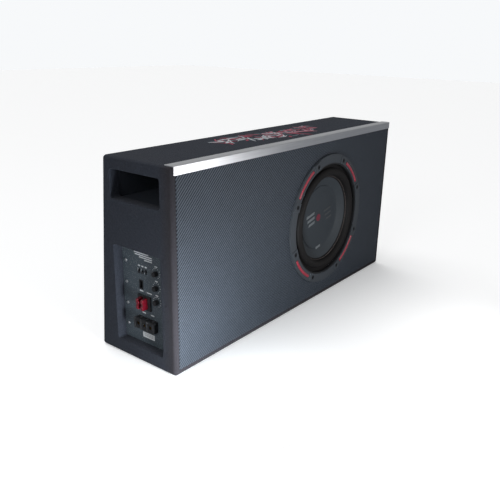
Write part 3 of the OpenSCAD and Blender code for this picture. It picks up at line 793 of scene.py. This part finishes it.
bpy.ops.mesh.primitive_uv_sphere_add(segments=8, ring_count=6, radius=1)
thread = bpy.context.object
thread.name = "rim_stitching"
thread.data.transform(Matrix.Diagonal((0.00055, 0.00045, 0.00135, 1)))
thread.data.transform(Matrix.Translation((stitch_r, cone_depth(stitch_r) - rubber_t - 0.0001, 0)))
thread.data.transform(Matrix.Translation(driver))
stitches = [thread]
for k in range(1, stitch_count):
    stitch = bpy.data.objects.new("stitch", thread.data.copy())
    bpy.context.scene.collection.objects.link(stitch)
    stitch.data.transform(about_driver(math.tau * k / stitch_count))
    stitches.append(stitch)
join(stitches, "rim_stitching")
bpy.ops.object.shade_smooth()
# Pale pinkish brown: the thread's own colour lifted to paint the highlight on the cone's rim.
brown_thread = plain("brown_thread", (0.22, 0.17, 0.16), (0.36, 0.29, 0.27), 3000, 0.8)
dress(thread, "cone_assembly", brown_thread, "surround")


# ---- Motor ----
# Behind the cone, a coil on a glass-fibre former runs in the gap between a steel plate
# and a vented pole, with a ferrite ring between them. A cloth spider centres it.
zinc = plain("zinc_plate", (0.50, 0.51, 0.52), (0.66, 0.67, 0.69), 300, 0.35, 0.00003, {"Metallic": 1.0})
copper = plain("enamelled_copper", (0.40, 0.14, 0.05), (0.62, 0.26, 0.10), 1800, 0.35, 0.0001,
               {"Metallic": 0.7})
paint("coil_former", plain("glass_fibre", (0.50, 0.40, 0.20), (0.64, 0.54, 0.30), 900, 0.6))
paint("voice_coil", copper)
paint("spider", plain("resin_cloth", (0.50, 0.30, 0.08), (0.68, 0.46, 0.16), 1500, 0.85, 0.0002))
paint("top_plate", zinc)
paint("yoke", zinc)
paint("magnet", plain("ferrite", (0.020, 0.020, 0.022), (0.045, 0.045, 0.048), 400, 0.6, 0.0001))
paint("driver_terminals", plain("phenolic", (0.09, 0.03, 0.02), (0.14, 0.05, 0.03), 600, 0.6))
paint("driver_wiring", plain("red_insulation", (0.30, 0.010, 0.014), (0.42, 0.02, 0.025), 300, 0.4))

# Two braided copper leads hang free between the terminals and the back of the cone.
leads = copy_of("coil_leads", "braided_leads")
leads.data.materials.clear()
leads.data.materials.append(
    plain("copper_braid", (0.42, 0.20, 0.10), (0.70, 0.42, 0.22), 4000, 0.45, 0.0002, {"Metallic": 0.8})
)
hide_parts("coil_leads")
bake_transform(leads)


# ---- Amplifier plate ----
# A black powder-coated sheet carries everything that the owner reaches. It is held in
# the recess by eight screws, on a foam gasket.
powder = Finish("powder_coat")
orange_peel = powder.noise(1500, 2.0)
flecks = powder.node("TexVoronoi", {}, {"Vector": powder.place(), "Scale": 620.0})
spark = powder.node("Math", {"operation": "LESS_THAN"}, {0: flecks, 1: 0.16})
powder.set({
    "Base Color": powder.blend(spark * 0.9, (0.066, 0.083, 0.097), (0.50, 0.54, 0.56)),
    "Roughness": 0.48,
})
powder.relief(orange_peel, 0.00008, 0.7)
plate = copy_of("amp_plate", "amplifier_plate")
soften(plate, 0.0003, 2, 50)
dress(plate, "box", powder.material, "plate", "amp_plate")
paint("amp_gasket", black_foam)

screw_steel = plain("screw_steel", (0.36, 0.37, 0.38), (0.58, 0.59, 0.60), 900, 0.34, 0.0, {"Metallic": 1.0})
fixings = copy_of("plate_screws", "plate_fixing_screws")
soften(fixings, 0.0002, 2, 40)
dress(fixings, "box", screw_steel, "screw", "plate_screws")


# ---- Controls ----
# Three fluted knobs on trimmers, three slide switches and a six-way socket for the signal.
knob_black = plain("knob_black", (0.012, 0.012, 0.013), (0.022, 0.022, 0.024), 900, 0.4)
moulded_black = plain("moulded_black", (0.010, 0.010, 0.011), (0.020, 0.020, 0.022), 1200, 0.45, 0.00005)
for node, body in (("gain_knob", "gain_control"), ("crossover_knob", "crossover_control"),
                   ("bass_knob", "bass_control")):
    dial = copy_of(node, node + "_moulding")
    soften(dial, 0.00025, 2, 40)
    dress(dial, body, knob_black, "knob", node)
for node, body in (("phase_switch", "phase_slider"), ("input_switch", "input_slider"),
                   ("filter_switch", "filter_slider")):
    nub = copy_of(node, node + "_nub")
    soften(nub, 0.0002, 2, 40)
    dress(nub, body, moulded_black, "black_plastic", node)
socket = copy_of("signal_socket", "signal_socket_shell")
soften(socket, 0.0002, 2, 40)
dress(socket, "box", moulded_black, "black_plastic", "signal_socket")


# ---- Fuses and power terminal ----
# Two red blade fuses stand side by side in a black holder, above a three-way block with
# brass cages, clamp screws and fins between the ways.
fuse_red = plain("tinted_fuse", (0.13, 0.003, 0.010), (0.24, 0.007, 0.020), 120, 0.16, 0.0,
                 {"Transmission Weight": 0.15, "Coat Weight": 0.5, "Coat Roughness": 0.08})
for node, body in (("rear_fuse", "rear_fuse_link"), ("front_fuse", "front_fuse_link")):
    case = copy_of(node, node + "_case")
    soften(case, 0.0005, 3, 40)
    dress(case, body, fuse_red, "fuse", node)
    paint(node + "_blades", screw_steel)
holder = copy_of("fuse_holder", "fuse_holder_moulding")
soften(holder, 0.0003, 2, 40)
dress(holder, "box", moulded_black, "black_plastic", "fuse_holder")
terminal = copy_of("terminal_block", "terminal_moulding")
soften(terminal, 0.0003, 2, 40)
dress(terminal, "box", moulded_black, "black_plastic", "terminal_block")
brass = plain("bright_brass", (0.55, 0.36, 0.12), (0.74, 0.54, 0.24), 700, 0.3, 0.0, {"Metallic": 1.0})
paint("terminal_cages", brass)
clamps = copy_of("terminal_screws", "clamp_screws")
soften(clamps, 0.0002, 2, 40)
dress(clamps, "box", screw_steel, "screw", "terminal_screws")


# ---- Plate printing ----
# White screen-printed guides: bars over the switches, dots round the knobs, a striped
# block at the top and a plain white sticker with grey rules at the bottom.
plate_x = plate_low.x
recess_y, recess_z = plate_low.y, plate_low.z
ink_t = 0.00012


def plate_mark(name, a, b, width, height, thickness=ink_t):
    """Adds a thin block on the plate, centred behind and above the plate's lower front corner."""
    y, z = recess_y + a, recess_z + b
    low = (plate_x - thickness, y - width / 2, z - height / 2)
    return block(name, low, (plate_x + 0.00005, y + width / 2, z + height / 2))


def plate_dot(name, a, b, radius):
    """Adds a thin disc on the plate."""
    middle = (plate_x - ink_t / 2, recess_y + a, recess_z + b)
    return drum(name, middle, (1, 0, 0), radius, ink_t + 0.0001, 12)


marks = []
for k, (middle, length) in enumerate(((0.062, 0.034), (0.057, 0.040), (0.052, 0.030), (0.046, 0.018))):
    marks.append(plate_mark("stripe", middle, 0.1605 - 0.0034 * k, length, 0.0019))
for a in (0.052, 0.060, 0.068):
    marks.append(plate_mark("switch_bar", a, 0.1385, 0.0048, 0.0022))
    marks.append(plate_mark("switch_tick", a + 0.0034, 0.1300, 0.0006, 0.0080))
marks.append(plate_mark("socket_bar", 0.0645, 0.0945, 0.0085, 0.0022))
dial_a = 0.028
dial_ring_r = 0.0085
for b in (0.1345, 0.1095, 0.0845):
    for k in range(11):
        angle = math.radians(-150 + 30 * k)
        dot_a, dot_b = dial_a - dial_ring_r * math.sin(angle), b + dial_ring_r * math.cos(angle)
        marks.append(plate_dot("dial_dot", dot_a, dot_b, 0.0007))
    marks.append(plate_mark("dial_bar", dial_a, b + 0.0110, 0.0062, 0.0018))
marks.append(plate_mark("fuse_bar", 0.046, 0.0945, 0.0120, 0.0018))
marks.append(plate_mark("terminal_bar", 0.040, 0.0560, 0.0080, 0.0022))
marks.append(plate_mark("terminal_bar", 0.060, 0.0560, 0.0080, 0.0022))
printing = join(marks, "plate_printing")
dress(printing, "box", white_print, "plate")

sticker_a = 0.051
sticker = plate_mark("blank_sticker", sticker_a, 0.0150, 0.028, 0.0095, 0.0002)
dress(sticker, "box", plain("sticker_paper", (0.66, 0.67, 0.67), (0.76, 0.77, 0.77), 500, 0.55), "plate")
rules = [plate_mark("rule", sticker_a, 0.0178 - 0.0022 * k, 0.023, 0.0006, 0.0003) for k in range(3)]
grey_ink = plain("grey_ink", (0.16, 0.17, 0.18), (0.22, 0.23, 0.24), 600, 0.6)
dress(join(rules, "sticker_rules"), "box", grey_ink, "plate")


# ---- Electronics behind the plate ----
# A green board on brass posts holds the trimmers, switches, capacitors and windings,
# with the power transistors clamped to a finned bar.
paint("circuit_board", plain("solder_mask", (0.006, 0.070, 0.020), (0.010, 0.110, 0.035), 300, 0.4, 0.00003))
paint("board_posts", brass)
paint("signal_pins", brass)
mill_aluminium = plain("mill_aluminium", (0.60, 0.61, 0.63), (0.74, 0.75, 0.77), 400, 0.4, 0.00003,
                       {"Metallic": 1.0})
paint("heatsink", mill_aluminium)
paint("power_transistors", moulded_black)
paint("transformer", copper)
paint("output_choke", copper)
paint("filter_capacitors", plain("capacitor_sleeve", (0.010, 0.016, 0.05), (0.016, 0.026, 0.075), 400, 0.3))
paint("potentiometers", plain("trimmer_blue", (0.03, 0.09, 0.20), (0.05, 0.13, 0.28), 400, 0.45))
paint("switch_housings", zinc)
